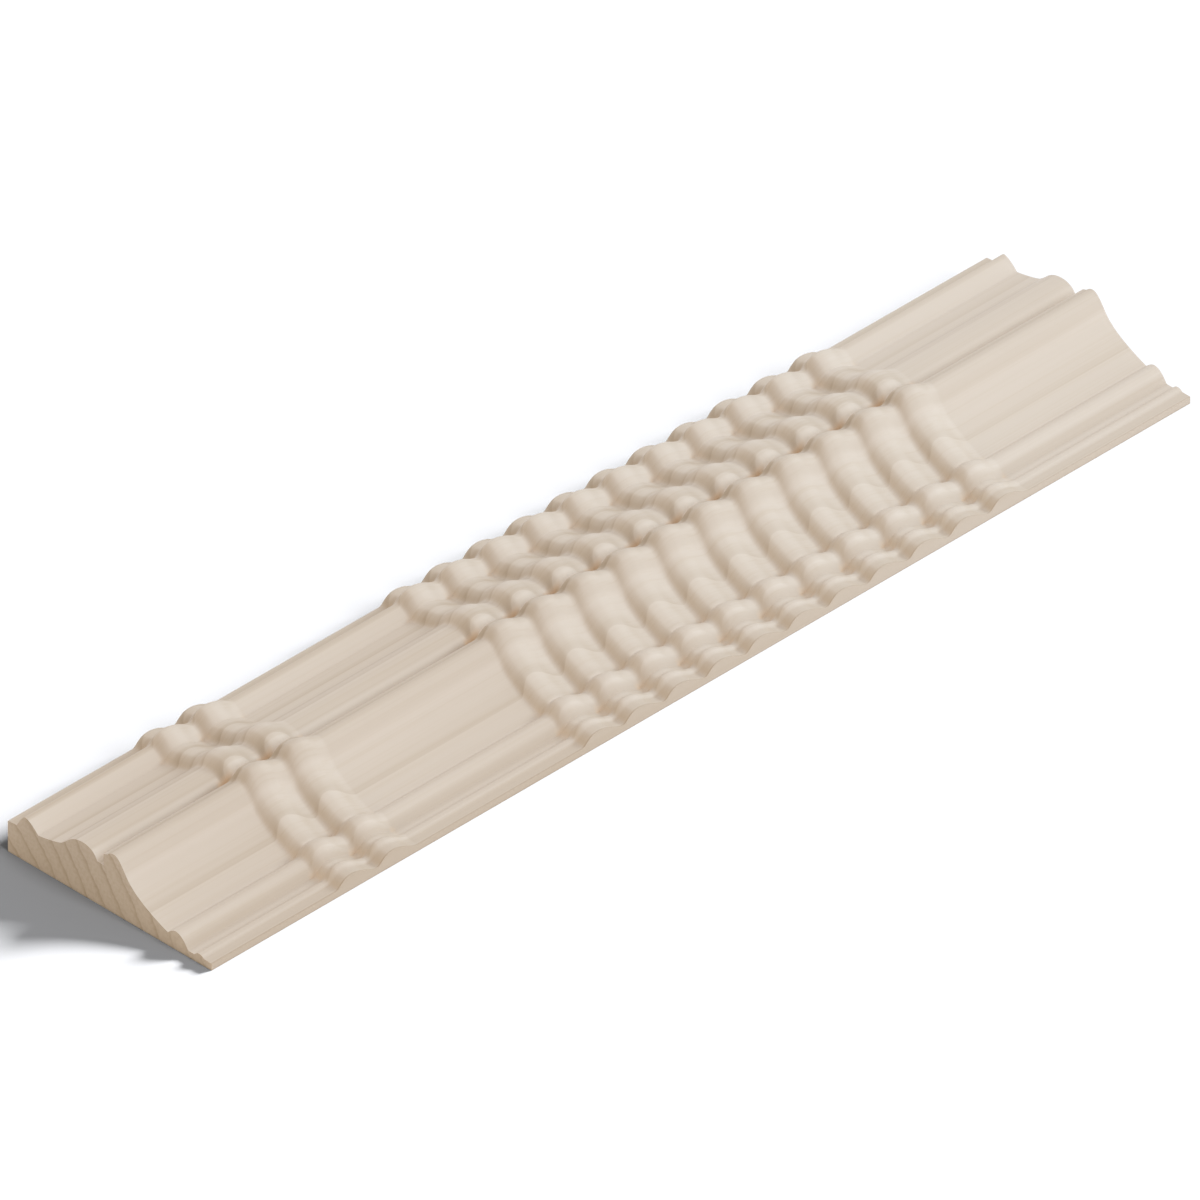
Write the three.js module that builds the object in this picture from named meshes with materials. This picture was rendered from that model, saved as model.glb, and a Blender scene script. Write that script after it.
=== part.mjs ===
// Ripple moulding: one length of solid wood with a built-up profile of beads, scotia, torus and cove,
// carved across with raised ripples in a group of two and a long run of eleven.
// Millimetres, +Z up. X runs along the length and Y across the width, thin edge at -Y, thick edge at +Y.
// The origin is the middle of the flat back, which lies on z = 0.
import * as THREE from "three";

// Overall size of the length of moulding
const WIDTH = 100;
const LENGTH = 480;
const THICK_EDGE = 12.9;

// Ripples: each one is a pitch long, swells up fast and sinks back slowly. Its facets meet at these distances
// along from its foot, at these lifts above the plain profile.
const PITCH = 20;
const RIPPLE = [
  { along: 1, lift: 0.33 },
  { along: 3, lift: 2.03 },
  { along: 4.7, lift: 3.12 },
  { along: 7.7, lift: 3.7 },
  { along: 12, lift: 2.95 },
  { along: 17.6, lift: 0.58 },
  { along: PITCH, lift: 0 },
];
const RIPPLE_RUNS = [
  { plain: 3 * PITCH, ripples: 2 },
  { plain: 4 * PITCH, ripples: 11 },
];

// Facets: the largest turn and length of one facet across the profile
const FACET_TURN = 20;
const FACET_LENGTH = 8;

// The profile from the thick edge to the thin one. Each member ends at w, across from the thick edge,
// and h, above the flat back. A round member also leaves and arrives at these slopes, in degrees.
const MEMBERS = [
  { name: "back fillet", w: 4.4, h: 13.2 },
  { name: "back bead flank", w: 6.4, h: 16.4 },
  { name: "back bead rise", w: 8.7, h: 18.55, leave: 57, arrive: 0 },
  { name: "back bead fall", w: 15, h: 14.1, leave: -10, arrive: -48 },
  { name: "scotia", w: 26.2, h: 16.75, leave: 9, arrive: 22 },
  { name: "torus flank", w: 29.6, h: 19.55, leave: 32, arrive: 43 },
  { name: "torus rise", w: 36.8, h: 22.4, leave: 43, arrive: 0 },
  { name: "torus fall", w: 44, h: 17.9, leave: 0, arrive: -67 },
  { name: "quirk floor", w: 47.2, h: 17.9 },
  { name: "quirk wall", w: 47.2, h: 22.7 },
  { name: "middle fillet", w: 49.1, h: 23.3 },
  { name: "upper bead rise", w: 52.2, h: 24.85, leave: 52, arrive: 0 },
  { name: "upper bead fall", w: 56.4, h: 21.3, leave: 0, arrive: -57 },
  { name: "cove flank", w: 58.6, h: 18 },
  { name: "cove", w: 78.5, h: 5.4, leave: -55, arrive: -21 },
  { name: "lower bead rise", w: 82.4, h: 7.7, leave: 45, arrive: 0 },
  { name: "lower bead fall", w: 88.4, h: 2.65, leave: 0, arrive: -60 },
  { name: "front groove", w: 91.5, h: 2.65 },
  { name: "small bead rise", w: 93.8, h: 4.05, leave: 48, arrive: 0 },
  { name: "small bead fall", w: 96.1, h: 3, leave: 0, arrive: -48 },
  { name: "front fillet", w: WIDTH, h: 2.9 },
];

// Pale, matt, bare wood
const WOOD = { color: 0xdccfbd, roughness: 0.75, metalness: 0 };

// Where the tangents at both ends of a round member cross
function knee(from, to, leave, arrive) {
  const rise = Math.tan(THREE.MathUtils.degToRad(leave));
  const fall = Math.tan(THREE.MathUtils.degToRad(arrive));
  const w = (to.y - from.y + rise * from.x - fall * to.x) / (rise - fall);
  return new THREE.Vector2(w, from.y + rise * (w - from.x));
}

// The points of one member after its first: one for a flat, a few along the curve of a round one
function memberPoints(from, { w, h, leave, arrive }) {
  const to = new THREE.Vector2(w, h);
  if (leave === undefined) return [to];
  const byTurn = Math.abs(leave - arrive) / FACET_TURN;
  const byLength = from.distanceTo(to) / FACET_LENGTH;
  const facets = Math.ceil(Math.max(byTurn, byLength));
  const curve = new THREE.QuadraticBezierCurve(from, knee(from, to, leave, arrive), to);
  return curve.getPoints(facets).slice(1);
}

// The closed end section: the flat back, the thick edge, the carved face and the thin edge
function endSection() {
  const outline = [new THREE.Vector2(0, 0), new THREE.Vector2(0, THICK_EDGE)];
  for (const member of MEMBERS) outline.push(...memberPoints(outline.at(-1), member));
  outline.push(new THREE.Vector2(WIDTH, 0));
  return new THREE.Shape(outline.map(({ x, y }) => new THREE.Vector2(WIDTH / 2 - x, y)));
}

// The sections along the length: how far each is from the near end, and its lift above the plain profile
function stations() {
  const list = [{ along: 0, lift: 0 }];
  let foot = 0;
  for (const { plain, ripples } of RIPPLE_RUNS) {
    foot += plain;
    list.push({ along: foot, lift: 0 });
    for (let ripple = 0; ripple < ripples; ripple++) {
      for (const { along, lift } of RIPPLE) list.push({ along: foot + along, lift });
      foot += PITCH;
    }
  }
  list.push({ along: LENGTH, lift: 0 });
  return list;
}

// The solid: the end section is extruded one unit a station, then each layer goes to its place along X
// and its carved face is lifted
function mouldingGeometry() {
  const along = stations();
  const steps = along.length - 1;
  const geometry = new THREE.ExtrudeGeometry(endSection(), { steps, depth: steps, bevelEnabled: false });
  const position = geometry.getAttribute("position");
  for (let i = 0; i < position.count; i++) {
    const station = along[Math.round(position.getZ(i))];
    const height = position.getY(i);
    const lifted = height > 0 ? height + station.lift : 0;
    position.setXYZ(i, station.along - LENGTH / 2, position.getX(i), lifted);
  }
  geometry.computeVertexNormals();
  return geometry;
}

const moulding = new THREE.Mesh(mouldingGeometry(), new THREE.MeshStandardMaterial(WOOD));
moulding.name = "ripple_moulding";

const part = new THREE.Group();
part.add(moulding);

export default part;
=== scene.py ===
"""Ripple moulding: a length of pale bare wood, rippled across a profile of beads, scotia, torus and cove.

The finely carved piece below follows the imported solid: the same profile members and the same ripples, with
eased arrises, dressed in solid wood whose rings and fibres run through the carving.
"""

import math

import bpy
import numpy as np
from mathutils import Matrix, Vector


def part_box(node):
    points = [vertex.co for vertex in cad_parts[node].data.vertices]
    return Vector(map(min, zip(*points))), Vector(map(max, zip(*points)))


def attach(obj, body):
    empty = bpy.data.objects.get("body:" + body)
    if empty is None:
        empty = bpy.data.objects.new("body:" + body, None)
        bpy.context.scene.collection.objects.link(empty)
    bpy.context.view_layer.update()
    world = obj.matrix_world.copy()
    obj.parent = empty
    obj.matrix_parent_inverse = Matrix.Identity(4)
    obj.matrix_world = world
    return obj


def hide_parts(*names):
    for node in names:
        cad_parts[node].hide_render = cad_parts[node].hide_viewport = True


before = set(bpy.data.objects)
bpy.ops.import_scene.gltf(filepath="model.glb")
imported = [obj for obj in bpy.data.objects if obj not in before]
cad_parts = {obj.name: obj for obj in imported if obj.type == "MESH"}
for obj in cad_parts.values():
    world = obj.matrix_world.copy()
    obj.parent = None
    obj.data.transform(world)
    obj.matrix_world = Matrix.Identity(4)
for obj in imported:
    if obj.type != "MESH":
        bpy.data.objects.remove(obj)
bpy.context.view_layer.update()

MM = 0.001
NODE = "ripple_moulding"

# Size of the solid in millimetres: its length and width, from the frame, and the heights of its two edges
low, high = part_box(NODE)
LENGTH = (high.x - low.x) / MM
WIDTH = (high.y - low.y) / MM
THICK_EDGE = 12.9
THIN_EDGE = 2.9

# Ripples on a grid along the length, as carved in the solid: where the facets meet along one ripple, how far
# they are lifted there, and for each run the pitches left plain before it and the ripples in it
PITCH = 20
RIPPLE_ALONG = np.array((0, 1, 3, 4.7, 7.7, 12, 17.6, PITCH))
RIPPLE_LIFT = np.array((0, 0.33, 2.03, 3.12, 3.7, 2.95, 0.58, 0))
RIPPLE_RUNS = ((3, 2), (4, 11))

# Between these heights the ripples take hold, so that the flat back stays flat and the whole face is lifted
LIFT_FROM = THIN_EDGE / 4
LIFT_TO = THIN_EDGE * 3 / 4

# The profile from the thick edge to the thin one: w across and h up at each member's end, in millimetres,
# and the slopes in degrees at which a round member leaves and arrives
FLAT = None
MEMBERS = (
    ("back fillet", 4.4, 13.2, FLAT),
    ("back bead flank", 6.4, 16.4, FLAT),
    ("back bead rise", 8.7, 18.55, (57, 0)),
    ("back bead fall", 15.0, 14.1, (-10, -48)),
    ("scotia", 26.2, 16.75, (9, 22)),
    ("torus flank", 29.6, 19.55, (32, 43)),
    ("torus rise", 36.8, 22.4, (43, 0)),
    ("torus fall", 44.0, 17.9, (0, -67)),
    ("quirk floor", 47.2, 17.9, FLAT),
    ("quirk wall", 47.2, 22.7, FLAT),
    ("middle fillet", 49.1, 23.3, FLAT),
    ("upper bead rise", 52.2, 24.85, (52, 0)),
    ("upper bead fall", 56.4, 21.3, (0, -57)),
    ("cove flank", 58.6, 18.0, FLAT),
    ("cove", 78.5, 5.4, (-55, -21)),
    ("lower bead rise", 82.4, 7.7, (45, 0)),
    ("lower bead fall", 88.4, 2.65, (0, -60)),
    ("front groove", 91.5, 2.65, FLAT),
    ("small bead rise", 93.8, 4.05, (48, 0)),
    ("small bead fall", 96.1, 3.0, (0, -48)),
    ("front fillet", WIDTH, THIN_EDGE, FLAT),
)

# Fineness of the traced outline: its step and the rounding of its arrises in millimetres, how many roundings
# the blur reaches to, and the fewest steps along one member
TRACE_STEP = 0.05
ARRIS = 0.11
ARRIS_REACH = 3
FEWEST_STEPS = 2

# Fineness of the carved mesh: the points round the section, the millimetres that a radian of turn counts for
# when they are shared out, the sections along one ripple, and the turn in degrees of an edge that stays sharp
SECTION_POINTS = 200
TURN_WEIGHT = 2.2
RIPPLE_SECTIONS = 32
SHARP_TURN = 40


def knee(start, end, slopes):
    """Where the tangents at both ends of a round member cross."""
    leave, arrive = (math.tan(math.radians(slope)) for slope in slopes)
    w = (end[1] - start[1] + leave * start[0] - arrive * end[0]) / (leave - arrive)
    return np.array((w, start[1] + leave * (w - start[0])))


def traced(start, end, slopes=FLAT):
    """Close-set points of one member, without its first."""
    steps = max(FEWEST_STEPS, math.ceil(np.hypot(*(end - start)) / TRACE_STEP))
    t = np.linspace(0, 1, steps + 1)[1:, None]
    if slopes is FLAT:
        return start + t * (end - start)
    return (1 - t) ** 2 * start + 2 * t * (1 - t) * knee(start, end, slopes) + t**2 * end


def outline():
    """The closed section as close-set points: thick edge, carved face, thin edge and flat back."""
    corners = [np.array((0.0, 0.0)), np.array((0.0, THICK_EDGE))]
    points = [traced(*corners)]
    for _, w, h, slopes in MEMBERS:
        corner = np.array((w, h))
        points.append(traced(corners[-1], corner, slopes))
        corners.append(corner)
    thin_foot = np.array((WIDTH, 0.0))
    points.append(traced(corners[-1], thin_foot))
    points.append(traced(thin_foot, corners[0]))
    return np.vstack(points)


def eased(points):
    """The outline with every arris rounded by a short blur along its length."""
    reach = math.ceil(ARRIS_REACH * ARRIS / TRACE_STEP)
    offsets = np.arange(-reach, reach + 1)
    weights = np.exp(-((offsets * TRACE_STEP / ARRIS) ** 2) / 2)
    weights /= weights.sum()
    return sum(weight * np.roll(points, offset, axis=0) for weight, offset in zip(weights, offsets))


def thinned(points, count):
    """As many points as asked, closest where the outline turns."""
    ahead = np.roll(points, -1, axis=0) - points
    heading = np.arctan2(ahead[:, 1], ahead[:, 0])
    turn = np.abs((np.diff(heading, append=heading[:1]) + math.pi) % (2 * math.pi) - math.pi)
    measure = np.cumsum(np.hypot(*ahead.T) + TURN_WEIGHT * turn)
    picks = np.searchsorted(measure, np.linspace(0, measure[-1], count, endpoint=False))
    return points[np.unique(picks)]


def ripple(along):
    """Lift of the carved face above the plain profile: a smooth curve through the facets of the solid."""
    slopes = np.gradient(RIPPLE_LIFT, RIPPLE_ALONG)
    slopes[[0, -1]] = 0
    start = np.clip(np.searchsorted(RIPPLE_ALONG, along, side="right") - 1, 0, len(RIPPLE_ALONG) - 2)
    end = start + 1
    span = RIPPLE_ALONG[end] - RIPPLE_ALONG[start]
    t = (along - RIPPLE_ALONG[start]) / span
    ends = (1 + 2 * t) * (1 - t) ** 2 * RIPPLE_LIFT[start] + t**2 * (3 - 2 * t) * RIPPLE_LIFT[end]
    return ends + span * t * (1 - t) * ((1 - t) * slopes[start] - t * slopes[end])


def stations():
    """Distance from the near end and lift of every section, with the plain stretches in single spans."""
    along, lift = [0.0], [0.0]
    across_one = np.arange(1, RIPPLE_SECTIONS + 1) / RIPPLE_SECTIONS * PITCH
    foot = 0
    for plain, ripples in RIPPLE_RUNS:
        foot += plain * PITCH
        along.append(foot)
        lift.append(0.0)
        for _ in range(ripples):
            along.extend(foot + across_one)
            lift.extend(ripple(across_one))
            foot += PITCH
    along.append(LENGTH)
    lift.append(0.0)
    return np.array(along), np.array(lift)


def carved_mesh():
    """The moulding as one closed mesh of sections between two flat sawn ends."""
    section = thinned(eased(outline()), SECTION_POINTS)
    along, lift = stations()
    across, height = section.T
    share_lifted = np.clip((height - LIFT_FROM) / (LIFT_TO - LIFT_FROM), 0, 1)
    layers = len(along)
    count = len(section)
    vertices = np.empty((layers, count, 3))
    vertices[..., 0] = along[:, None] - LENGTH / 2
    vertices[..., 1] = WIDTH / 2 - across
    vertices[..., 2] = height + share_lifted * lift[:, None]
    layer, point = np.meshgrid(np.arange(layers - 1), np.arange(count), indexing="ij")
    here = layer * count + point
    beside = layer * count + (point + 1) % count
    sides = np.stack((here, here + count, beside + count, beside), axis=-1).reshape(-1, 4)
    last = (layers - 1) * count
    caps = [list(range(count)), list(range(last + count - 1, last - 1, -1))]
    mesh = bpy.data.meshes.new("carved_moulding")
    mesh.from_pydata((vertices.reshape(-1, 3) * MM).tolist(), [], sides.tolist() + caps)
    mesh.polygons.foreach_set("use_smooth", [True] * len(sides) + [False] * len(caps))
    mesh.set_sharp_from_angle(angle=math.radians(SHARP_TURN))
    mesh.update()
    return mesh


# Sockets of a colour mix: the factor and the two colours going in, and the colour coming out
MIX_INPUTS = (0, 6, 7)
MIX_RESULT = 2

# The soft edge of a band, in millimetres
BAND_EDGE = 1.2


class Nodes:
    """A small hand for wiring one material's nodes."""

    def __init__(self, material):
        material.use_nodes = True
        self.tree = material.node_tree
        self.shader = self.tree.nodes["Principled BSDF"]

    def add(self, kind, inputs=None, **settings):
        """A node with its settings made, and its inputs linked or set."""
        made = self.tree.nodes.new(kind)
        for name, value in settings.items():
            setattr(made, name, value)
        for name, value in (inputs or {}).items():
            if isinstance(value, bpy.types.NodeSocket):
                self.tree.links.new(value, made.inputs[name])
            else:
                made.inputs[name].default_value = value
        return made

    def math(self, operation, first, second=0.0, third=0.0):
        inputs = {0: first, 1: second, 2: third}
        return self.add("ShaderNodeMath", inputs, operation=operation).outputs[0]

    def times(self, first, second):
        return self.math("MULTIPLY", first, second)

    def left(self, share):
        """What a share leaves of one."""
        return self.math("SUBTRACT", 1.0, share)

    def lessened(self, amount, share, loss):
        """An amount, less a loss that grows with a share."""
        return self.math("MULTIPLY_ADD", share, -loss, amount)

    def vector(self, operation, first, second=(0, 0, 0)):
        made = self.add("ShaderNodeVectorMath", {0: first, 1: second}, operation=operation)
        return made.outputs["Value" if operation in ("DOT_PRODUCT", "LENGTH") else "Vector"]

    def noise(self, place, waves, detail, roughness):
        """Soft noise, with its own number of waves to a unit along each axis."""
        stretched = self.vector("MULTIPLY", place, waves)
        inputs = {"Vector": stretched, "Scale": 1.0, "Detail": detail, "Roughness": roughness}
        return self.add("ShaderNodeTexNoise", inputs).outputs["Fac"]

    def smooth(self, value, start, end):
        """None at the start and one at the end, with a soft step between."""
        inputs = {"Value": value, "From Min": start, "From Max": end}
        return self.add("ShaderNodeMapRange", inputs, interpolation_type="SMOOTHSTEP").outputs["Result"]

    def between(self, value, rise, fall):
        """One between a soft rise and a soft fall, and none outside them."""
        return self.math("SUBTRACT", self.smooth(value, *rise), self.smooth(value, *fall))

    def mix(self, factor, first, second, blend="MIX"):
        inputs = dict(zip(MIX_INPUTS, (factor, first, second)))
        made = self.add("ShaderNodeMix", inputs, data_type="RGBA", blend_type=blend)
        return made.outputs[MIX_RESULT]

    def tint(self, share, most, first, colour):
        """A colour multiplied in, by a share of the most it may take."""
        return self.mix(self.times(share, most), first, colour, "MULTIPLY")

    def bands(self, place, span, named_bands):
        """The level of soft-edged bands along a span, and none between them."""
        made = self.add("ShaderNodeValToRGB", {"Fac": self.math("DIVIDE", place, span)})
        elements = made.color_ramp.elements
        elements[1].color = elements[0].color
        for _, start, end, level in named_bands:
            for at, value in ((start - BAND_EDGE, 0), (start, level), (end, level), (end + BAND_EDGE, 0)):
                if at >= 0:
                    elements.new(at / span).color = (value, value, value, 1)
        return made.outputs["Color"]

    def to_shader(self, name, value):
        self.tree.links.new(value, self.shader.inputs[name])


# Wood colours, linear: the ground at the near end and at the far end, the sawn ends low down, paler with
# painted light against the floor's shade, and high up, the painted light of the pale bands, and the honey
# brown of painted warm bounce light at the ripples' feet
NEAR_WOOD = (0.637, 0.557, 0.482, 1)
FAR_WOOD = (0.682, 0.614, 0.548, 1)
PAINTED_LIGHT_LOW_END_WOOD = (0.525, 0.425, 0.315, 1)
HIGH_END_WOOD = (0.482, 0.392, 0.296, 1)
PAINTED_LIGHT_WOOD = (0.74, 0.67, 0.60, 1)
PAINTED_BOUNCE_WOOD = (0.72, 0.56, 0.41, 1)

# Tints multiplied into the wood: fibre streaks, growth rings, pores and every darker tone, painted shade
# among them, and the quirk's brown painted shade
STREAK_TINT = (0.90, 0.86, 0.78, 1)
RING_AND_SHADE_TINT = (0.74, 0.68, 0.59, 1)
QUIRK_SHADE_TINT = (0.88, 0.80, 0.66, 1)

# Directions: along the fibres, and square to them
ALONG = (1, 0, 0)
ACROSS_AND_UP = (0, 1, 1)

# How far a face turns to look along the fibres, as shares from start to end of a soft step: the sawn ends,
# all that is cut across the fibres, the flanks of the ripples, and the steep places in the quirk
SAWN = (0.85, 0.95)
CUT = (0.2, 0.95)
FLANK = (0.1, 0.4)
STEEP = (0.15, 0.6)

# Heights between which the sawn ends change from their low colour, paler with painted light against the
# floor's shade, to their high one, in millimetres
END_HEIGHTS = (0.0, 18.0)

# Noise through the wood: waves to the millimetre along, across and up, then the detail and the roughness
BROAD_STREAKS = ((0.0012, 0.16, 0.04), 3.0, 0.5)
FINE_STREAKS = ((0.006, 1.1, 0.25), 3.0, 0.6)
FIBRES = ((0.05, 5.0, 5.0), 2.0, 0.5)
KINKS = ((0.02, 0.3, 0.3), 2.0, 0.5)
SPECKLE = ((0.2, 0.7, 0.7), 4.0, 0.5)
NOISE_MIDDLE = 0.5

# Fibre streaks: the levels of noise between which they show, the broad ones' share beside the fine ones, and
# the most that they tint
BROAD_SHOW = (0.4, 0.75)
FINE_SHOW = (0.45, 0.8)
BROAD_SHARE = 0.35
STREAK_AMOUNT = 0.42

# Growth rings: circles about a far pith, placed in millimetres across from the thick edge and up from the
# flat back, the radius of the first one in the wood, and the spacing
PITH_W = -92
PITH_H = -77.5
FIRST_RING = 124.6
RING_SPACING = 7.3

# The rings' wander off their circles, in millimetres: how far, over which length across and from where it
# starts, and the size of the small kinks on the sawn ends
WANDER = 0.9
WANDER_LENGTH = 56
WANDER_START = 56
KINK_SIZE = 2.0

# Shares of one ring: where the late wood darkens, where the thin line by its edge does, and the edge itself
LATE_WOOD = (0.55, 0.96)
EDGE_LINE = (0.78, 0.93)
RING_EDGE = (0.96, 1.0)

# The most that rings tint, what they lose past the radii where they grow faint and towards the far end, and
# the most that the thin line tints
RING_AMOUNT = 0.4
FAINT_RADII = (186, 192)
FAINT_LOSS = 0.28
RING_FAR_LOSS = 0.4
EDGE_AMOUNT = 0.27

# Pores on the sawn ends: the levels of noise between which they show, and the most that they tint
SPECKLE_SHOW = (0.38, 0.7)
SPECKLE_AMOUNT = 0.3

# Bands along the carved face, in millimetres across from the thick edge, as from, to and level: darker ones,
# partly painted shade and partly the wood's own tone, painted shade on the ripples' flanks alone, and paler
# ones of painted light that stay off the flanks
SHADE_AND_TONE_BANDS = (
    ("back fillet", 0.0, 3.2, 0.9),
    ("torus", 36.0, 39.0, 0.4),
    ("upper bead", 48.2, 57.2, 0.8),
    ("cove", 60.0, 66.0, 0.4),
    ("lower bead fall", 86.8, 88.6, 0.8),
    ("front fillet", 96.2, 99.0, 1.0),
)
FLANK_SHADE_BANDS = (
    ("back bead flank", 3.4, 7.0, 1.0),
    ("scotia", 18.0, 30.0, 0.5),
    ("middle fillet", 47.4, 49.2, 1.0),
)
PAINTED_LIGHT_BANDS = (
    ("back bead fall", 10.0, 14.0, 0.35),
    ("torus fall", 41.8, 43.4, 1.0),
    ("cove foot", 78.2, 81.0, 0.62),
    ("front groove", 90.6, 93.4, 0.33),
)
SHADE_AND_TONE_AMOUNT = 0.3
FLANK_SHADE_AMOUNT = 0.45
PAINTED_LIGHT_AMOUNT = 0.6

# Painted shade on the face of the thin edge: where it begins, in millimetres across, the most that it is
# tinted, and what that loses towards the far end
THIN_FACE = (99.2, 99.8)
THIN_FACE_SHADE_AMOUNT = 0.85
THIN_FACE_SHADE_FAR_LOSS = 0.22

# Painted shade along the arris by the floor: the heights over which it fades, in millimetres, and the most it
# is tinted
FLOOR_ARRIS_SHADE = (0.2, 0.7)
FLOOR_ARRIS_SHADE_AMOUNT = 0.6

# Painted shade in the quirk, warm brown, in millimetres across: where it comes in and where it goes. It has a
# small share where the quirk is level, more where it is steep, and a most that it tints.
QUIRK_IN = (43, 44)
QUIRK_OUT = (47, 47.6)
QUIRK_LEVEL_SHARE = 0.15
QUIRK_STEEP_SHARE = 0.85
QUIRK_SHADE_AMOUNT = 0.6

# Painted warm bounce light in the hollows at the ripples' feet: how far round they are looked for, in
# millimetres, with how many rays, the shares of shelter between which they show, and the shares of a pitch
# over which they end after a foot and begin before the next
HOLLOW_REACH = 6
HOLLOW_RAYS = 8
HOLLOW_SHOW = (0.12, 0.55)
AFTER_FOOT = (0.35, 0.1)
BEFORE_FOOT = (0.86, 0.97)

# The sanded surface: its roughness and what the fine streaks add, its sheen, and the raised fibres' strength
# and height in millimetres
ROUGHNESS = 0.54
STREAK_ROUGHNESS = 0.12
SHEEN = 0.45
FIBRE_STRENGTH = 0.25
FIBRE_HEIGHT = 0.02


def rippled_stretches():
    """Where each run of ripples starts and ends, in millimetres from the near end."""
    stretches = []
    foot = 0
    for plain, ripples in RIPPLE_RUNS:
        start = foot + plain * PITCH
        foot = start + ripples * PITCH
        stretches.append(("ripples", start, foot, 1.0))
    return stretches


class Wood(Nodes):
    """The nodes of solid wood: where a point lies, how its face is turned, and the steps of its colour."""

    def __init__(self, material):
        super().__init__(material)
        place = self.add("ShaderNodeTexCoord").outputs["Object"]
        self.in_mm = self.vector("MULTIPLY", place, (1 / MM,) * 3)
        axes = self.add("ShaderNodeSeparateXYZ", {0: self.in_mm}).outputs
        self.from_end = self.math("ADD", axes["X"], LENGTH / 2)
        self.across = self.math("SUBTRACT", WIDTH / 2, axes["Y"])
        self.height = axes["Z"]
        self.far = self.smooth(self.from_end, 0.0, LENGTH)
        normal = self.add("ShaderNodeNewGeometry").outputs["Normal"]
        self.turned = self.math("ABSOLUTE", self.vector("DOT_PRODUCT", normal, ALONG))
        self.sawn = self.smooth(self.turned, *SAWN)
        self.carved = self.left(self.sawn)
        self.cut = self.smooth(self.turned, *CUT)
        self.fine_streaks = self.noise(self.in_mm, *FINE_STREAKS)

    def ground(self):
        """Pale wood, darker where ripples cut steeply across the fibres and on sawn ends, with painted light
        low on those.
        """
        face = self.mix(self.far, NEAR_WOOD, FAR_WOOD)
        end = self.mix(self.smooth(self.height, *END_HEIGHTS), PAINTED_LIGHT_LOW_END_WOOD, HIGH_END_WOOD)
        return self.mix(self.cut, face, end)

    def streaked(self, wood):
        """Fibre streaks along the carved face, broad ones and fine ones."""
        broad = self.smooth(self.noise(self.in_mm, *BROAD_STREAKS), *BROAD_SHOW)
        fine = self.smooth(self.fine_streaks, *FINE_SHOW)
        streaks = self.math("MULTIPLY_ADD", broad, BROAD_SHARE, fine)
        return self.tint(self.times(streaks, self.carved), STREAK_AMOUNT, wood, STREAK_TINT)

    def ring_share(self, radius):
        """How far through its growth ring a point lies, with the rings off their circles a little."""
        turn = self.times(self.math("SUBTRACT", self.across, WANDER_START), 2 * math.pi / WANDER_LENGTH)
        wandered = self.lessened(radius, self.math("SINE", turn), WANDER)
        kinks = self.math("SUBTRACT", self.noise(self.in_mm, *KINKS), NOISE_MIDDLE)
        wandered = self.math("MULTIPLY_ADD", self.times(kinks, self.sawn), KINK_SIZE, wandered)
        rings = self.math("DIVIDE", self.math("SUBTRACT", wandered, FIRST_RING), RING_SPACING)
        return self.math("FRACT", rings)

    def ringed(self, wood):
        """Growth rings that darken slowly up to a sharp edge, with a thin line by it in cut wood."""
        from_pith = self.vector("SUBTRACT", self.in_mm, (0, WIDTH / 2 - PITH_W, PITH_H))
        radius = self.vector("LENGTH", self.vector("MULTIPLY", from_pith, ACROSS_AND_UP))
        share = self.ring_share(radius)
        amount = self.lessened(RING_AMOUNT, self.smooth(radius, *FAINT_RADII), FAINT_LOSS)
        amount = self.times(amount, self.lessened(1.0, self.far, RING_FAR_LOSS))
        wood = self.tint(self.between(share, LATE_WOOD, RING_EDGE), amount, wood, RING_AND_SHADE_TINT)
        line = self.times(self.between(share, EDGE_LINE, RING_EDGE), self.cut)
        return self.tint(line, EDGE_AMOUNT, wood, RING_AND_SHADE_TINT)

    def speckled(self, wood):
        """Pores on the sawn ends."""
        pores = self.smooth(self.noise(self.in_mm, *SPECKLE), *SPECKLE_SHOW)
        return self.tint(self.times(pores, self.sawn), SPECKLE_AMOUNT, wood, RING_AND_SHADE_TINT)

    def banded(self, wood):
        """Tones across the carved face: painted shade and painted light in bands, and some of the wood's own
        tone.
        """
        flank = self.smooth(self.turned, *FLANK)
        shade_and_tone = self.times(self.bands(self.across, WIDTH, SHADE_AND_TONE_BANDS), self.carved)
        wood = self.tint(shade_and_tone, SHADE_AND_TONE_AMOUNT, wood, RING_AND_SHADE_TINT)
        painted_light = self.times(self.bands(self.across, WIDTH, PAINTED_LIGHT_BANDS), self.left(flank))
        wood = self.mix(self.times(painted_light, PAINTED_LIGHT_AMOUNT), wood, PAINTED_LIGHT_WOOD)
        carved_flank = self.times(flank, self.carved)
        shaded = self.times(self.bands(self.across, WIDTH, FLANK_SHADE_BANDS), carved_flank)
        return self.tint(shaded, FLANK_SHADE_AMOUNT, wood, RING_AND_SHADE_TINT)

    def edge_shaded(self, wood):
        """Painted shade on the face of the thin edge and along the arris by the floor."""
        amount = self.lessened(THIN_FACE_SHADE_AMOUNT, self.far, THIN_FACE_SHADE_FAR_LOSS)
        thin_face_shade = self.times(self.smooth(self.across, *THIN_FACE), amount)
        wood = self.tint(thin_face_shade, self.carved, wood, RING_AND_SHADE_TINT)
        arris_shade = self.left(self.smooth(self.height, *FLOOR_ARRIS_SHADE))
        return self.tint(arris_shade, FLOOR_ARRIS_SHADE_AMOUNT, wood, RING_AND_SHADE_TINT)

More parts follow.
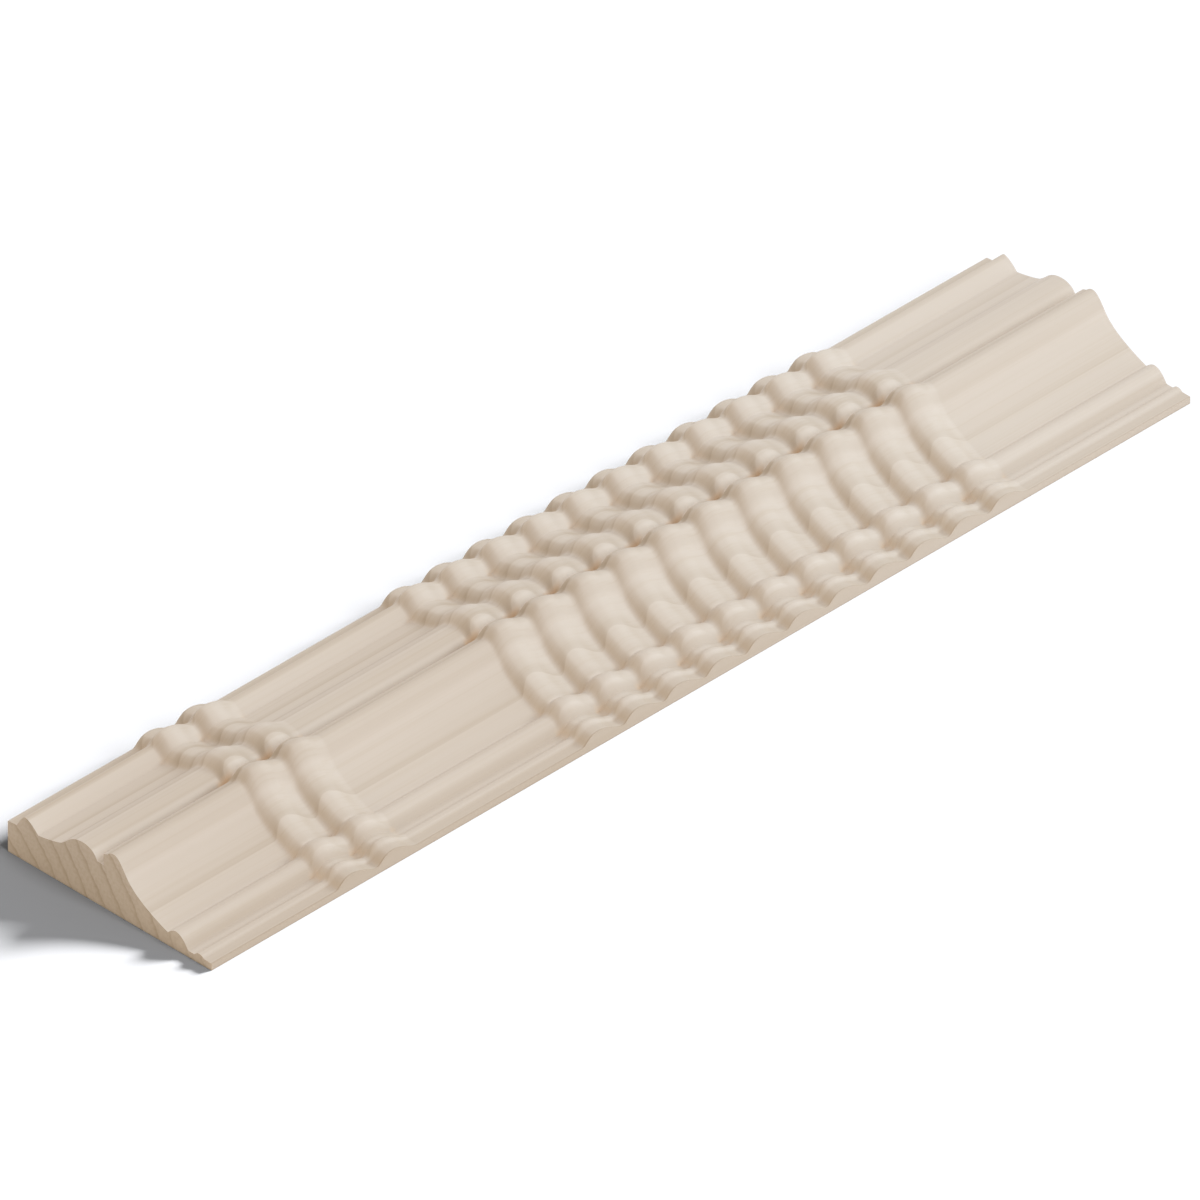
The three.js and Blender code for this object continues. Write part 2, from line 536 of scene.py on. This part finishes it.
    def bounce_painted(self, wood):
        """Painted warm bounce light, honey brown, in the hollows at the ripples' feet."""
        inputs = {"Distance": HOLLOW_REACH * MM}
        around = self.add("ShaderNodeAmbientOcclusion", inputs, samples=HOLLOW_RAYS, only_local=True)
        hollow = self.smooth(self.left(around.outputs["AO"]), *HOLLOW_SHOW)
        pitch_share = self.math("FRACT", self.math("DIVIDE", self.from_end, PITCH))
        by_foot = self.math(
            "ADD", self.smooth(pitch_share, *AFTER_FOOT), self.smooth(pitch_share, *BEFORE_FOOT)
        )
        feet = self.times(by_foot, self.bands(self.from_end, LENGTH, rippled_stretches()))
        return self.mix(self.times(hollow, self.times(feet, self.carved)), wood, PAINTED_BOUNCE_WOOD)

    def quirk_shaded(self, wood):
        """Painted shade in the quirk, warm brown, most of all where the ripples make it steep."""
        quirk = self.between(self.across, QUIRK_IN, QUIRK_OUT)
        steep = self.smooth(self.turned, *STEEP)
        share = self.math("MULTIPLY_ADD", steep, QUIRK_STEEP_SHARE, QUIRK_LEVEL_SHARE)
        quirk_shade = self.times(quirk, self.times(share, self.carved))
        return self.tint(quirk_shade, QUIRK_SHADE_AMOUNT, wood, QUIRK_SHADE_TINT)

    def sanded(self):
        """A sanded surface with a faint sheen and a trace of raised fibre."""
        roughness = self.math("MULTIPLY_ADD", self.fine_streaks, STREAK_ROUGHNESS, ROUGHNESS)
        self.to_shader("Roughness", roughness)
        self.shader.inputs["Specular IOR Level"].default_value = SHEEN
        fibres = self.noise(self.in_mm, *FIBRES)
        inputs = {"Height": fibres, "Strength": FIBRE_STRENGTH, "Distance": FIBRE_HEIGHT * MM}
        self.to_shader("Normal", self.add("ShaderNodeBump", inputs).outputs["Normal"])


def wood_material():
    """Bare wood: lines along the face, over the ripples, rings on the sawn ends, and painted light and shade.
    """
    material = bpy.data.materials.new("bare_wood")
    wood = Wood(material)
    colour = wood.ground()
    steps = (wood.streaked, wood.ringed, wood.speckled, wood.banded, wood.edge_shaded, wood.bounce_painted, wood.quirk_shaded)
    for step in steps:
        colour = step(colour)
    wood.to_shader("Base Color", colour)
    wood.sanded()
    return material


def add_moulding():
    """The carved piece, in place of the solid."""
    mesh = carved_mesh()
    mesh.materials.append(wood_material())
    piece = bpy.data.objects.new("carved_moulding", mesh)
    bpy.context.scene.collection.objects.link(piece)
    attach(piece, "root")
    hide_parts(NODE)
    return piece


# Floor: a wide matt sheet, side in metres. Its own grey is deep, and its strong lamps bring it up to white.
FLOOR_SIDE = 7.0
FLOOR_GREY = (0.124, 0.1255, 0.1295, 1)
FLOOR_ROUGHNESS = 0.9
FLOOR_SHEEN = 0.1


def add_floor():
    """A plain studio floor under the flat back."""
    half = FLOOR_SIDE / 2
    corners = [(-half, -half, 0), (half, -half, 0), (half, half, 0), (-half, half, 0)]
    mesh = bpy.data.meshes.new("floor")
    mesh.from_pydata(corners, [], [(0, 1, 2, 3)])
    material = bpy.data.materials.new("pale_floor")
    shader = Nodes(material).shader
    shader.inputs["Base Color"].default_value = FLOOR_GREY
    shader.inputs["Roughness"].default_value = FLOOR_ROUGHNESS
    shader.inputs["Specular IOR Level"].default_value = FLOOR_SHEEN
    mesh.materials.append(material)
    sheet = bpy.data.objects.new("floor", mesh)
    bpy.context.scene.collection.objects.link(sheet)
    return sheet


# Lamps, as the way towards each and the angle in degrees that it fills: a low key beyond the far end, a
# little to the front, a weak fill facing the near end, a soft one from the front and a softer one from behind
KEY_TOWARDS = (1.85, -0.65, 1.0)
KEY_ANGLE = 17
FILL_TOWARDS = (-1.0, -0.35, 0.3)
FILL_ANGLE = 40
FRONT_TOWARDS = (0.0, -1.0, 0.8)
FRONT_ANGLE = 26
BACK_TOWARDS = (-0.3, 1.0, 0.7)
BACK_ANGLE = 60

# Their strengths. The wood and the floor have each their own, so that the floor stays white round a clear
# shadow and a faint halo while the wood is lit softly.
WOOD_KEY = 1.45
WOOD_FILL = 0.62
WOOD_BACK = 0.25
FLOOR_KEY = 41.0
FLOOR_FRONT = 6.8

# Their colours, and the even sky
WHITE = (1, 1, 1)
COOL = (0.88, 0.96, 1.0)
WARM = (1.0, 0.79, 0.57)
SKY_STRENGTH = 0.76
SKY_COLOUR = (1.0, 0.99, 0.975, 1)


def add_sun(name, towards, angle, strength, colour, lit):
    """A distant soft lamp that lights one object, whatever casts the shadow."""
    data = bpy.data.lights.new(name, "SUN")
    data.angle = math.radians(angle)
    data.energy = strength
    data.color = colour
    lamp = bpy.data.objects.new(name, data)
    lamp.rotation_euler = Vector(towards).to_track_quat("Z", "Y").to_euler()
    receiver = bpy.data.collections.new(f"lit_by_{name}")
    receiver.objects.link(lit)
    lamp.light_linking.receiver_collection = receiver
    bpy.context.scene.collection.objects.link(lamp)


def add_sky():
    """Even white light from all round."""
    sky = bpy.data.worlds.new("sky")
    sky.use_nodes = True
    background = sky.node_tree.nodes["Background"]
    background.inputs["Color"].default_value = SKY_COLOUR
    background.inputs["Strength"].default_value = SKY_STRENGTH
    bpy.context.scene.world = sky
    bpy.context.scene.view_settings.view_transform = "Standard"


# Camera: a very long lens, for the photograph's parallel view down its three equal axes. The lens and sensor
# are in millimetres, the width that it frames and the point that it aims at in metres. It sees to twice its
# distance from there.
CAMERA_BACK = (-1, -1, 1)
LENS = 1500
SENSOR = 36
FRAME_WIDTH = 0.4166
AIM = (0.0103, 0.0117, 0)
SIGHT = 2


def add_camera():
    """The photograph's view."""
    data = bpy.data.cameras.new("camera")
    data.lens = LENS
    data.sensor_width = SENSOR
    distance = FRAME_WIDTH * LENS / SENSOR
    data.clip_end = SIGHT * distance
    camera = bpy.data.objects.new("camera", data)
    back = Vector(CAMERA_BACK).normalized()
    camera.location = Vector(AIM) + back * distance
    camera.rotation_euler = back.to_track_quat("Z", "Y").to_euler()
    bpy.context.scene.collection.objects.link(camera)
    bpy.context.scene.camera = camera


add_camera()
floor = add_floor()
moulding = add_moulding()
add_sky()
add_sun("wood_key", KEY_TOWARDS, KEY_ANGLE, WOOD_KEY, COOL, moulding)
add_sun("floor_key", KEY_TOWARDS, KEY_ANGLE, FLOOR_KEY, WHITE, floor)
add_sun("floor_front", FRONT_TOWARDS, FRONT_ANGLE, FLOOR_FRONT, WHITE, floor)
add_sun("wood_fill", FILL_TOWARDS, FILL_ANGLE, WOOD_FILL, WARM, moulding)
add_sun("wood_back", BACK_TOWARDS, BACK_ANGLE, WOOD_BACK, WARM, moulding)
